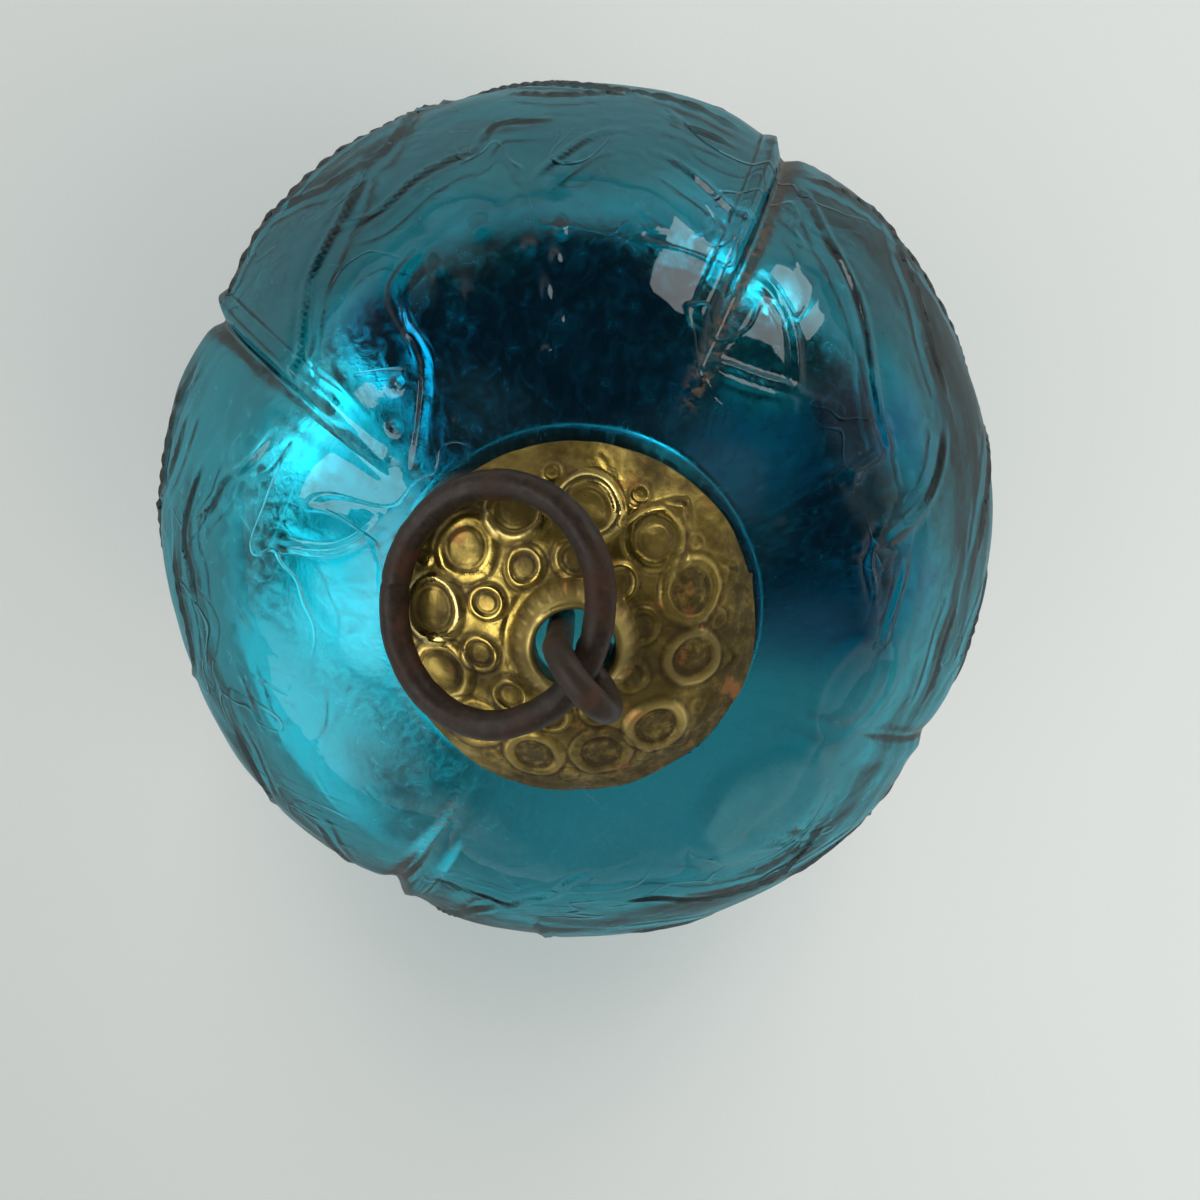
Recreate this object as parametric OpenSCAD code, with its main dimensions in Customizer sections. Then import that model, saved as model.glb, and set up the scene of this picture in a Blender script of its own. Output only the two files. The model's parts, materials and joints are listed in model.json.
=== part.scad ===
// Glass ball ornament: moulded glass globe, sheet brass cap, wire hanger and loose ring.
// Millimetres, +Z up along the globe's own axis, origin at the centre of the flat foot.

/* [Globe] */
// Outer diameter of the glass globe
globe_d = 100; // [76:1:130]
// Glass thickness
glass_wall = 1.8; // [1.4:0.1:2.6]
// Diameter of the ground flat the globe stands on
foot_d = 17.8; // [14:0.2:22]
// Depth of the four seams between the moulded leaves
seam_depth = 0.75; // [0.4:0.05:0.8]
// Height of the raised midrib on each leaf
rib_height = 0.5; // [0.2:0.05:0.8]
// Direction of the first seam seen from above
seam_azimuth = 62; // [0:1:89]

/* [Neck] */
// Bore of the glass neck
neck_bore_d = 11; // [9.5:0.5:12]
// Height of the neck above the top of the ball
neck_rise = 1.0; // [0.6:0.1:1.2]

/* [Cap] */
// Diameter of the brass cap across its rim
cap_d = 28; // [26:0.5:32]
// Thickness of the brass sheet
cap_sheet = 0.5; // [0.4:0.05:0.7]
// Hole in the middle of the cap
cap_hole_d = 5.6; // [5.4:0.1:6.2]
// Number of large embossed rings
large_rings = 12; // [8:1:14]
// Number of small embossed rings
small_rings = 10; // [6:1:11]

/* [Hanger and ring] */
// Wire of the hanger
hanger_wire_d = 2.0; // [1.6:0.1:2.1]
// Length of the hanger's eye above its bend
eye_length = 5.3; // [4.8:0.1:6.5]
// Lean of the eye from upright
eye_lean = 22; // [0:1:26]
// Wire of the ring
ring_wire_d = 2.2; // [1.8:0.1:2.3]
// Mean diameter of the ring
ring_mean_d = 16.6; // [15.6:0.1:17.2]

/* [Hidden] */
$fn = 96;

globe_r = globe_d / 2;
foot_r = foot_d / 2;
centre_z = sqrt(globe_r * globe_r - foot_r * foot_r);
seam_wire_r = 1.5;
rib_wire_r = 1.0;
rib_keepout_r = 20;

// neck: a trumpet that grows out of the ball
flare_r = 6.3;
flare_centre_r = 13.7;
flare_centre_h = globe_r + 4.4;
neck_top_h = globe_r + neck_rise;

// cap: a shallow dome with a raised collar
cap_r = cap_d / 2;
wire_r = hanger_wire_d / 2;
leg_half = 1.65;
hole_play = 0.15;
cap_hole_r = max(cap_hole_d / 2, leg_half + wire_r + hole_play);
dome_r = 21;
dome_gap = 0.17;
neck_lip_r = 8.6;
neck_gap = 0.25;
function inner_dome(r) = sqrt(pow(dome_r - cap_sheet, 2) - r * r);
rim_rest_h = sqrt(globe_r * globe_r - cap_r * cap_r) + dome_gap - inner_dome(cap_r);
neck_rest_h = neck_top_h + neck_gap - inner_dome(neck_lip_r);
dome_centre_h = max(rim_rest_h, neck_rest_h);
dome_top_h = dome_centre_h + dome_r;
collar_base_r = 4.6;
collar_top_r = 3.3;
lip_h = dome_top_h + 1.65;
large_ring_pitch_r = 9.8;
large_ring_r = 1.95;
small_ring_pitch_r = 6.0;
small_ring_r = 1.05;
bead_r = 0.28;

// hanger: two legs up through the cap, bent over into a leaning eye
eye_azimuth = -50;
knuckle = 0.02;
ring_wire_r = ring_wire_d / 2;
eye_play = 0.4;
eye_half = wire_r + ring_wire_r + eye_play;
bend_h = lip_h + 1.28;
flare_rise = 0.5;
flare_top = wire_r + flare_rise;
eye_straight_top = eye_length - eye_half;
leg_drop_h = bend_h - 6.6;
leg_end_x = 7.5;
leg_end_h = leg_drop_h - 8.9;

// ring: hangs in the eye and lies down on the cap
ring_r = ring_mean_d / 2;
ring_azimuth = 150;
ring_dip = 29;
seat_rise = 0.5;
seat_along = flare_top + seat_rise;

function lean(x, h) = [
    x * cos(eye_lean) + h * sin(eye_lean),
    bend_h - x * sin(eye_lean) + h * cos(eye_lean)
];
seat = lean(0, seat_along);
left_bend = lean(-leg_half, 0);
right_bend = lean(leg_half, 0);

// a straight round wire between two points of the hanger's own plane, with round ends
module wire(a, b) {
    run = [b[0] - a[0], b[1] - a[1]];
    length = sqrt(run[0] * run[0] + run[1] * run[1]);
    translate([a[0], 0, a[1]])
        rotate([0, atan2(run[0], run[1]), 0])
            cylinder(r = wire_r, h = length);
    translate([a[0], 0, a[1]]) sphere(r = wire_r + knuckle);
    translate([b[0], 0, b[1]]) sphere(r = wire_r + knuckle);
}

// a full hoop that stands upright through the globe's axis
module upright_hoop(mean_r, section_r) {
    rotate([90, 0, 0])
        rotate_extrude()
            translate([mean_r, 0]) circle(r = section_r);
}

module leaf_ribs() {
    difference() {
        for (turn = [0, 90])
            rotate([0, 0, seam_azimuth + 45 + turn])
                upright_hoop(globe_r + rib_height - rib_wire_r, rib_wire_r);
        cylinder(r = rib_keepout_r, h = globe_r + 5);
    }
}

module seams() {
    for (turn = [0, 90])
        rotate([0, 0, seam_azimuth + turn])
            upright_hoop(globe_r - seam_depth + seam_wire_r, seam_wire_r);
}

module neck_outside() {
    rotate_extrude()
        difference() {
            translate([0, globe_r - 6]) square([flare_centre_r - 1.2, 6 + neck_rise]);
            translate([flare_centre_r, flare_centre_h]) circle(r = flare_r);
        }
}

module glass_globe() {
    color([0.10, 0.50, 0.58, 0.45])
        difference() {
            translate([0, 0, centre_z])
                difference() {
                    union() {
                        difference() {
                            union() {
                                sphere(r = globe_r);
                                leaf_ribs();
                            }
                            seams();
                        }
                        neck_outside();
                    }
                    sphere(r = globe_r - glass_wall);
                    cylinder(r = neck_bore_d / 2, h = globe_r + 5);
                }
            translate([0, 0, -10])
                cylinder(r = globe_r, h = 10);
        }
}

module dome_ring(pitch_r, ring_size, azimuth) {
    rotate([0, asin(pitch_r / dome_r), azimuth])
        translate([0, 0, dome_r])
            rotate_extrude()
                translate([ring_size, 0]) circle(r = bead_r);
}

module dome_sheet() {
    intersection() {
        translate([0, 0, dome_centre_h])
            difference() {
                sphere(r = dome_r);
                sphere(r = dome_r - cap_sheet);
            }
        translate([0, 0, dome_centre_h]) cylinder(r = cap_r, h = dome_r + 2);
    }
}

module collar() {
    rotate_extrude()
        polygon([
            [cap_hole_r - 0.3, dome_top_h - cap_sheet - 0.25],
            [collar_base_r, dome_top_h - cap_sheet - 0.25],
            [collar_base_r, dome_top_h - 0.4],
            [collar_top_r, lip_h],
            [cap_hole_r - 0.3, lip_h]
        ]);
}

module brass_cap() {
    color([0.62, 0.48, 0.18])
        translate([0, 0, centre_z])
            difference() {
                union() {
                    dome_sheet();
                    collar();
                    translate([0, 0, dome_centre_h]) {
                        for (i = [0 : large_rings - 1])
                            dome_ring(large_ring_pitch_r, large_ring_r, i * 360 / large_rings);
                        for (i = [0 : small_rings - 1])
                            dome_ring(small_ring_pitch_r, small_ring_r, i * 360 / small_rings);
                    }
                }
                cylinder(r = cap_hole_r, h = lip_h + 5);
            }
}

module eye_bow() {
    translate([seat[0] - seat_along * sin(eye_lean), 0, bend_h])
        rotate([0, eye_lean, 0])
            translate([0, 0, eye_straight_top])
                intersection() {
                    rotate([90, 0, 0])
                        rotate_extrude()
                            translate([eye_half, 0]) circle(r = wire_r);
                    translate([-eye_half - 3, -3, 0])
                        cube([2 * eye_half + 6, 6, eye_half + 3]);
                }
}

module hanger() {
    color([0.24, 0.18, 0.15])
        translate([0, 0, centre_z])
            rotate([0, 0, eye_azimuth]) {
                for (side = [-1, 1]) {
                    bend = lean(side * leg_half, 0);
                    knee = [bend[0], leg_drop_h];
                    wire([side * leg_end_x, leg_end_h], knee);
                    wire(knee, bend);
                    wire(bend, lean(side * eye_half, flare_top));
                    wire(lean(side * eye_half, flare_top), lean(side * eye_half, eye_straight_top));
                }
                eye_bow();
            }
}

module ring() {
    color([0.20, 0.15, 0.13])
        translate([0, 0, centre_z])
            rotate([0, 0, eye_azimuth])
                translate([seat[0], 0, seat[1]])
                    rotate([0, 0, ring_azimuth - eye_azimuth])
                        rotate([0, ring_dip, 0])
                            translate([ring_r, 0, 0])
                                rotate_extrude()
                                    translate([ring_r, 0]) circle(r = ring_wire_r);
}

glass_globe();
brass_cap();
hanger();
ring();
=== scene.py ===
import json
import math

import bpy
import numpy as np
from mathutils import Matrix, Vector

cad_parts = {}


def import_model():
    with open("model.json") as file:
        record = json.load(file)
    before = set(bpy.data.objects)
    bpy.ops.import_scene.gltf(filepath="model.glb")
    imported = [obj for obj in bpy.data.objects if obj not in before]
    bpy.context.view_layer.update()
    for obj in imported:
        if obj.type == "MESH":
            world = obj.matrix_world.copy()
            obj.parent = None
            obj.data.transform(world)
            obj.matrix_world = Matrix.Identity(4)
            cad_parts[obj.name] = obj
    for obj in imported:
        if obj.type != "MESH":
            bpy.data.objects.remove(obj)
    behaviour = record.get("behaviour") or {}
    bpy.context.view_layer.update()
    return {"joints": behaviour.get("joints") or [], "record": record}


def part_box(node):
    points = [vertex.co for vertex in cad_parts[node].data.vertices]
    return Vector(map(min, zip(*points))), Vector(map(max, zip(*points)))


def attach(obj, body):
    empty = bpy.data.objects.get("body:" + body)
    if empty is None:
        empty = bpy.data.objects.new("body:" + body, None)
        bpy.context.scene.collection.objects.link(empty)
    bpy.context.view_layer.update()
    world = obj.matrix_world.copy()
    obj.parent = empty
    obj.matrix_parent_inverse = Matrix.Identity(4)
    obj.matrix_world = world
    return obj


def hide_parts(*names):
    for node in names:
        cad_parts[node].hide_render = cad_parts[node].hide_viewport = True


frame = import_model()
scene = bpy.context.scene
MM = 0.001

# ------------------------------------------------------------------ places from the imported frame
globe_lo, globe_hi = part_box("glass_globe")
BALL_R = globe_hi.x / MM
NECK_TOP = 51.0
CENTRE_Z = globe_hi.z / MM - NECK_TOP
CENTRE = Vector((0, 0, CENTRE_Z * MM))


def d2r(a):
    return np.radians(a)


def waves(p, scale, seed, count=14):
    """Smooth seeded noise in about -1..1 at points p (N x 3, mm); scale is the usual bump width in mm."""
    rng = np.random.default_rng(seed)
    out = np.zeros(len(p))
    for _ in range(count):
        k = rng.normal(size=3)
        k *= 2 * math.pi / (scale * 2.0) * rng.uniform(0.6, 1.5) / np.linalg.norm(k)
        out += np.sin(p @ k + rng.uniform(0, 6.283))
    return out / math.sqrt(count) * 0.9


def smooth(x, lo, hi):
    t = np.clip((x - lo) / (hi - lo), 0, 1)
    return t * t * (3 - 2 * t)


def bell(d, w):
    return np.exp(-(d / w) ** 2)


# ------------------------------------------------------------------ camera, first
cam_data = bpy.data.cameras.new("camera")
cam = bpy.data.objects.new("camera", cam_data)
scene.collection.objects.link(cam)
cam_data.sensor_width = 36
cam_data.lens = 27.09
cam_data.clip_start = 0.001
cam_data.clip_end = 50
right = Vector((0.99989, 0, 0.01500)).normalized()
ahead = Vector((0.01458, -0.23604, -0.97164)).normalized()
up = right.cross(ahead).normalized()
cam.matrix_world = Matrix((
    (right.x, up.x, -ahead.x, 0.00086),
    (right.y, up.y, -ahead.y, 0.01819),
    (right.z, up.z, -ahead.z, CENTRE.z + 0.11601),
    (0, 0, 0, 1)))
scene.camera = cam
scene.view_settings.view_transform = "Standard"
scene.cycles.caustics_reflective = False
scene.cycles.caustics_refractive = False


# ------------------------------------------------------------------ node helpers
def material(name):
    m = bpy.data.materials.new(name)
    m.use_nodes = True
    m.node_tree.nodes.clear()
    return m, m.node_tree


def add(nt, kind, **sets):
    n = nt.nodes.new(kind)
    for k, v in sets.items():
        setattr(n, k, v)
    return n


def put(nt, node, **values):
    """Sets or links inputs by name, with _ for a space."""
    for k, v in values.items():
        socket = node.inputs[int(k[1:])] if k[0] == "i" and k[1:].isdigit() else node.inputs[k.replace("_", " ")]
        if isinstance(v, bpy.types.NodeSocket):
            nt.links.new(v, socket)
        elif isinstance(v, (tuple, list)) and len(v) == 3 and socket.type == "RGBA":
            socket.default_value = (*v, 1)
        else:
            socket.default_value = v
    return node


def attr(nt, name):
    return add(nt, "ShaderNodeAttribute", attribute_name=name).outputs["Fac"]


def coords(nt):
    return add(nt, "ShaderNodeTexCoord").outputs["Object"]


def noise(nt, vector, scale, detail=4, rough=0.55, distort=0.0):
    n = put(nt, add(nt, "ShaderNodeTexNoise"), Vector=vector, Scale=scale, Detail=detail, Roughness=rough,
            Distortion=distort)
    return n.outputs["Fac"]


def voronoi(nt, vector, scale, feature="F1", rand=1.0):
    n = put(nt, add(nt, "ShaderNodeTexVoronoi", feature=feature), Vector=vector, Scale=scale, Randomness=rand)
    return n.outputs["Distance"]


def stretch(nt, vector, x, y, z, turn=(0, 0, 0)):
    n = add(nt, "ShaderNodeMapping")
    n.inputs["Scale"].default_value = (x, y, z)
    n.inputs["Rotation"].default_value = turn
    nt.links.new(vector, n.inputs["Vector"])
    return n.outputs["Vector"]


def remap(nt, value, lo, hi, to_lo=0.0, to_hi=1.0, soft=True):
    n = add(nt, "ShaderNodeMapRange", interpolation_type="SMOOTHSTEP" if soft else "LINEAR")
    n.clamp = True
    put(nt, n, Value=value, From_Min=lo, From_Max=hi, To_Min=to_lo, To_Max=to_hi)
    return n.outputs["Result"]


def math_node(nt, op, a, b=0.0, clamp=False):
    n = add(nt, "ShaderNodeMath", operation=op, use_clamp=clamp)
    put(nt, n, i0=a, i1=b)
    return n.outputs[0]


def mix_colour(nt, fac, a, b, blend="MIX"):
    n = add(nt, "ShaderNodeMix", data_type="RGBA", blend_type=blend)
    for sock, v in ((n.inputs[0], fac), (n.inputs[6], a), (n.inputs[7], b)):
        if isinstance(v, bpy.types.NodeSocket):
            nt.links.new(v, sock)
        else:
            sock.default_value = (*v, 1) if isinstance(v, tuple) else v
    return n.outputs[2]


def bump(nt, height, strength, distance, normal=None):
    n = put(nt, add(nt, "ShaderNodeBump"), Height=height, Strength=strength, Distance=distance)
    if normal is not None:
        nt.links.new(normal, n.inputs["Normal"])
    return n.outputs["Normal"]


def output(nt, shader):
    out = add(nt, "ShaderNodeOutputMaterial")
    nt.links.new(shader, out.inputs["Surface"])


def mix_shader(nt, fac, a, b):
    n = add(nt, "ShaderNodeMixShader")
    put(nt, n, i0=fac)
    nt.links.new(a, n.inputs[1])
    nt.links.new(b, n.inputs[2])
    return n.outputs[0]


# ------------------------------------------------------------------ materials
def glass_outer():
    m, nt = material("teal_glass_skin")
    at = coords(nt)
    p = add(nt, "ShaderNodeBsdfPrincipled")
    put(nt, p, Base_Color=(0.008, 0.375, 0.480), Transmission_Weight=1.0, Roughness=0.015, IOR=1.5)
    through = put(nt, add(nt, "ShaderNodeBsdfRefraction"), Color=(0.089, 0.612, 0.693), Roughness=0.015, IOR=1.5)
    pits = noise(nt, at, 900, 3)
    wavy = noise(nt, at, 130, 2)
    # thin wandering creases that the hot glass took from the mould, broken up in places
    wander = noise(nt, at, 62, 1.5, 0.5, 0.9)
    crease = remap(nt, math_node(nt, "ABSOLUTE", math_node(nt, "SUBTRACT", wander, 0.5)), 0.0, 0.011, 1.0, 0.0)
    crease = math_node(nt, "MULTIPLY", crease, remap(nt, noise(nt, at, 48, 2), 0.47, 0.60))
    n1 = bump(nt, wavy, 0.40, 0.00028)
    n2 = bump(nt, crease, 0.32, 0.00022, n1)
    skin = bump(nt, pits, 0.10, 0.00004, n2)
    put(nt, p, Normal=skin)
    put(nt, through, Normal=skin)
    dust = put(nt, add(nt, "ShaderNodeBsdfPrincipled"), Base_Color=(0.17, 0.105, 0.060), Roughness=0.9)
    grain = remap(nt, noise(nt, at, 1100, 5, 0.7), 0.46, 0.62)
    specks = remap(nt, voronoi(nt, at, 420), 0.0, 0.13, 1.0, 0.0)
    specks = math_node(nt, "MULTIPLY", specks, attr(nt, "haze"), clamp=True)
    mask = math_node(nt, "MULTIPLY", attr(nt, "dirt"), grain, clamp=True)
    mask = math_node(nt, "MAXIMUM", mask, specks)
    film = put(nt, add(nt, "ShaderNodeBsdfPrincipled"), Base_Color=(0.16, 0.44, 0.47), Roughness=0.6)
    veil = math_node(nt, "MULTIPLY", attr(nt, "haze"), remap(nt, noise(nt, at, 120, 4, 0.6), 0.3, 0.7, 0.02, 0.17))
    facing = add(nt, "ShaderNodeLayerWeight")
    facing.inputs["Blend"].default_value = 0.5
    calm = remap(nt, facing.outputs["Facing"], 0.45, 0.85, 0.40, 0.74)
    body = mix_shader(nt, calm, p.outputs[0], through.outputs[0])
    body = mix_shader(nt, veil, body, film.outputs[0])
    body = mix_shader(nt, mask, body, dust.outputs[0])
    clear = add(nt, "ShaderNodeBsdfTransparent")
    put(nt, clear, Color=(0.62, 0.77, 0.79))
    path = add(nt, "ShaderNodeLightPath")
    output(nt, mix_shader(nt, path.outputs["Is Shadow Ray"], body, clear.outputs[0]))
    return m


def glass_silvered():
    m, nt = material("teal_glass_silvered")
    at = coords(nt)
    brush = add(nt, "ShaderNodeAttribute", attribute_name="brush").outputs["Vector"]
    streak = noise(nt, brush, 1.3, 6, 0.65, 0.8)
    cloud = noise(nt, at, 60, 4, 0.6)
    fine = noise(nt, at, 1300, 4, 0.7)
    mirror = add(nt, "ShaderNodeBsdfPrincipled")
    # painted shade: the dark blue tone darkens the mirror's reflection near the neck
    tone = mix_colour(nt, attr(nt, "deep"), (0.90, 0.94, 0.92), (0.02, 0.36, 0.55))
    tone = mix_colour(nt, math_node(nt, "MULTIPLY", cloud, 0.35), tone, (0.55, 0.80, 0.80), "MULTIPLY")
    # painted shade: darkens the mirror's colour on the side towards azimuth 72 and beside the neck
    tone = mix_colour(nt, attr(nt, "silver_shade"), tone, (0.27, 0.38, 0.40), "MULTIPLY")
    put(nt, mirror, Base_Color=tone, Metallic=1.0)
    put(nt, mirror, Roughness=remap(nt, streak, 0.3, 0.75, 0.05, 0.30))
    put(nt, mirror, Normal=bump(nt, math_node(nt, "ADD", streak, fine), 0.16, 0.00006))
    clear = put(nt, add(nt, "ShaderNodeBsdfPrincipled"), Base_Color=(0.80, 0.93, 0.95), Transmission_Weight=1.0,
                Roughness=0.03, IOR=1.5)
    cover = math_node(nt, "ADD", attr(nt, "silver"), math_node(nt, "MULTIPLY", math_node(nt, "SUBTRACT", cloud, 0.5), 0.5))
    cover = math_node(nt, "SUBTRACT", cover, remap(nt, fine, 0.62, 0.74, 0.0, 0.35), clamp=True)
    body = mix_shader(nt, cover, clear.outputs[0], mirror.outputs[0])
    lamp = put(nt, add(nt, "ShaderNodeBsdfTransparent"), Color=(0.62, 0.77, 0.79))
    path = add(nt, "ShaderNodeLightPath")
    output(nt, mix_shader(nt, path.outputs["Is Shadow Ray"], body, lamp.outputs[0]))
    return m


def brass():
    m, nt = material("aged_brass_sheet")
    at = coords(nt)
    p = add(nt, "ShaderNodeBsdfPrincipled")
    blotch = noise(nt, at, 170, 5, 0.65, 0.4)
    fine = noise(nt, at, 1100, 5, 0.7)
    scratch = noise(nt, stretch(nt, at, 1, 0.12, 1, (0, 0, 0.6)), 2600, 3, 0.6)
    low = attr(nt, "cavity")
    worn = attr(nt, "worn")
    bright, dull = (0.62, 0.44, 0.105), (0.20, 0.138, 0.026)
    # this attribute holds real dull patina on the flats and rim, plus painted shade that darkens the cap's right and
    # lower side
    patina_and_shade = attr(nt, "patina_and_shade")
    c = mix_colour(nt, remap(nt, blotch, 0.38, 0.62), bright, dull)
    c = mix_colour(nt, math_node(nt, "MULTIPLY", patina_and_shade, remap(nt, fine, 0.25, 0.6, 0.55, 1.0)), c, (0.075, 0.054, 0.013))
    rubbed = math_node(nt, "MULTIPLY", worn, remap(nt, patina_and_shade, 0.0, 0.9, 1.0, 0.15))
    c = mix_colour(nt, math_node(nt, "MULTIPLY", rubbed, remap(nt, fine, 0.2, 0.7, 0.5, 1.0)), c, (0.84, 0.63, 0.22))
    dark = math_node(nt, "MULTIPLY", low, remap(nt, fine, 0.30, 0.62, 0.55, 1.0), clamp=True)
    c = mix_colour(nt, dark, c, (0.055, 0.032, 0.012))
    rusty = remap(nt, noise(nt, at, 330, 4, 0.6), 0.60, 0.70, 0.0, 0.55)
    c = mix_colour(nt, rusty, c, (0.42, 0.17, 0.05))
    put(nt, p, Base_Color=c)
    put(nt, p, Metallic=remap(nt, math_node(nt, "MAXIMUM", dark, math_node(nt, "MULTIPLY", patina_and_shade, 0.7)), 0.0, 1.0, 1.0, 0.5))
    rough = math_node(nt, "ADD", remap(nt, blotch, 0.3, 0.7, 0.15, 0.34), math_node(nt, "MULTIPLY", dark, 0.35))
    put(nt, p, Roughness=math_node(nt, "ADD", rough, math_node(nt, "MULTIPLY", patina_and_shade, 0.22), clamp=True))
    n1 = bump(nt, blotch, 0.8, 0.00014)
    n2 = bump(nt, noise(nt, at, 520, 3, 0.6), 0.6, 0.00010, n1)
    n3 = bump(nt, fine, 0.45, 0.00005, n2)
    put(nt, p, Normal=bump(nt, scratch, 0.18, 0.00003, n3))
    output(nt, p.outputs[0])
    return m


def iron(name, dark, rust, rust_from, rust_to):
    m, nt = material(name)
    at = coords(nt)
    p = add(nt, "ShaderNodeBsdfPrincipled")
    big = noise(nt, at, 260, 5, 0.6, 0.3)
    fine = noise(nt, at, 1500, 6, 0.7)
    cells = voronoi(nt, at, 1500)
    c = mix_colour(nt, remap(nt, fine, 0.35, 0.65), dark, (0.030, 0.020, 0.013))
    c = mix_colour(nt, math_node(nt, "MULTIPLY", attr(nt, "rust"), remap(nt, big, rust_from, rust_to), clamp=True), c, rust)
    c = mix_colour(nt, remap(nt, fine, 0.60, 0.72, 0.0, 0.35), c, (0.085, 0.060, 0.042))
    put(nt, p, Base_Color=c, Metallic=0.15, Specular_IOR_Level=0.28)
    put(nt, p, Roughness=remap(nt, big, 0.3, 0.7, 0.38, 0.60))
    n1 = bump(nt, big, 0.5, 0.00012)
    n2 = bump(nt, cells, 0.35, 0.00006, n1)
    put(nt, p, Normal=bump(nt, fine, 0.5, 0.00006, n2))
    output(nt, p.outputs[0])
    return m


# ------------------------------------------------------------------ mesh helpers
def build(name, verts, faces, smooth_faces=True):
    me = bpy.data.meshes.new(name)
    me.from_pydata([tuple(v) for v in np.asarray(verts) * MM], [], [tuple(int(i) for i in f) for f in faces])
    me.update()
    if smooth_faces:
        me.polygons.foreach_set("use_smooth", np.ones(len(me.polygons), bool))
    o = bpy.data.objects.new(name, me)
    scene.collection.objects.link(o)
    return o


def point_attr(obj, name, values):
    a = obj.data.attributes.new(name, "FLOAT", "POINT")
    a.data.foreach_set("value", np.asarray(values, np.float32))


def strip(rows, cols, first=0, flip=False):
    """Quads of a grid of rows x cols that closes on itself along its columns."""
    i = np.arange(rows - 1)[:, None] * cols + first
    j = np.arange(cols)[None, :]
    k = (j + 1) % cols
    q = np.stack([i + j, i + cols + j, i + cols + k, i + k], -1).reshape(-1, 4)
    return q[:, ::-1] if flip else q


def link_rows(a, b, cols, flip=False):
    j = np.arange(cols)
    k = (j + 1) % cols
    q = np.stack([a + j, b + j, b + k, a + k], -1)
    return q[:, ::-1] if flip else q


# ------------------------------------------------------------------ relief of the globe
# Each seam is (azimuth near the neck, azimuth at the equator, which side's leaf edge lies on top, how strong it is).
SEAMS = [(63, 62, 1, 1.0), (143, 148, -1, 1.0), (239, 241, 1, 0.75), (334, 332, -1, 0.3)]

# Raised veins of the moulded leaves, as (azimuth, polar angle) in degrees, followed by height and width in mm.
VEINS = [
    ([(26, 36), (33, 37), (40, 41), (46, 45), (54, 49), (60, 57)], 0.55, 0.75),
    ([(54, 49), (58, 49)], 0.4, 0.6),
    ([(27, 51), (33, 52), (38, 57), (44, 61), (46, 66), (50, 74)], 0.55, 0.8),
    ([(45, 30), (50, 34), (55, 37), (61, 39)], 0.45, 0.6),
    ([(45, 30), (52, 28), (61, 27)], 0.45, 0.6),
    ([(11, 31), (13, 38), (17, 43), (22, 47)], 0.5, 1.0),
    ([(26, 28), (26, 36)], 0.4, 0.7),
    ([(340, 48), (345, 47), (350, 46), (356, 48)], 0.4, 0.8),
    ([(352, 32), (360, 33), (366, 35)], 0.35, 0.8),
    ([(2, 30), (10, 29), (14, 32)], 0.4, 0.8),
    ([(3, 55), (10, 58), (15, 64), (17, 74)], 0.5, 0.9),
    ([(345, 58), (352, 61), (358, 68)], 0.5, 0.9),
    ([(103, 50), (110, 49), (115, 47), (119, 46), (123, 48)], 0.5, 0.75),
    ([(131, 44), (125, 47), (120, 51), (117, 56), (118, 59)], 0.55, 0.8),
    ([(142, 37), (137, 39), (133, 42), (131, 44)], 0.5, 0.7),
    ([(117, 57), (114, 58), (112, 62), (111, 68), (108, 78)], 0.5, 0.8),
    ([(119, 58), (123, 58), (127, 63), (131, 66), (134, 74)], 0.5, 0.8),
    ([(140, 62), (146, 61)], 0.4, 0.7),
    ([(65, 44), (72, 46), (79, 48.5)], 0.5, 0.7),
    ([(69, 57), (74, 56), (80, 58)], 0.5, 0.8),
    ([(84, 52), (88, 50), (91, 47), (95, 44)], 0.45, 0.7),
    ([(82, 66), (88, 64), (92, 62), (98, 66)], 0.5, 0.9),
    ([(93, 54), (97, 54), (100, 55), (103, 50)], 0.45, 0.7),
    ([(136, 19.5), (128, 22), (122, 25), (119, 28), (121, 32), (120, 36), (114, 38)], 0.5, 0.7),
    ([(153, 20), (160, 21), (166, 24), (168, 31)], 0.45, 0.6),
    ([(152, 36), (158, 37), (162, 41), (165, 41), (168, 43), (170, 45)], 0.5, 0.8),
    ([(162, 46), (166, 47), (172, 48.5), (176, 48), (178, 46), (183, 46)], 0.5, 0.75),
    ([(158, 55), (163, 55), (169, 58), (172, 66)], 0.5, 0.8),
    ([(177, 53), (183, 52), (188, 51), (194, 54), (197, 62)], 0.5, 0.8),
    ([(181, 36), (184, 34)], 0.4, 0.7),
    ([(193, 38.5), (197, 38), (202, 39), (204, 39)], 0.4, 0.7),
    ([(197, 25), (205, 27), (208, 30), (212, 34), (220, 36)], 0.16, 0.35),
    ([(204, 48), (211, 50), (217, 55), (219, 64)], 0.5, 0.85),
    ([(224, 45), (229, 50), (233, 57)], 0.45, 0.8),
    ([(243, 40), (249, 39), (254, 38), (258, 39), (261, 36), (265, 35), (268, 31), (272, 30)], 0.45, 0.7),
    ([(279, 37), (284, 37), (288, 40), (294, 43), (298, 45), (304, 48), (307, 45), (314, 43)], 0.5, 0.7),
    ([(302, 42), (308, 42), (312, 41)], 0.4, 0.6),
    ([(255, 41), (252, 45), (251, 52), (247, 60)], 0.45, 0.8),
    ([(264, 46), (264, 55), (267, 64)], 0.5, 0.9),
    ([(278, 52), (284, 54), (290, 59), (293, 68)], 0.5, 0.85),
    ([(304, 52), (311, 54), (317, 60), (319, 70)], 0.5, 0.85),
]


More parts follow.
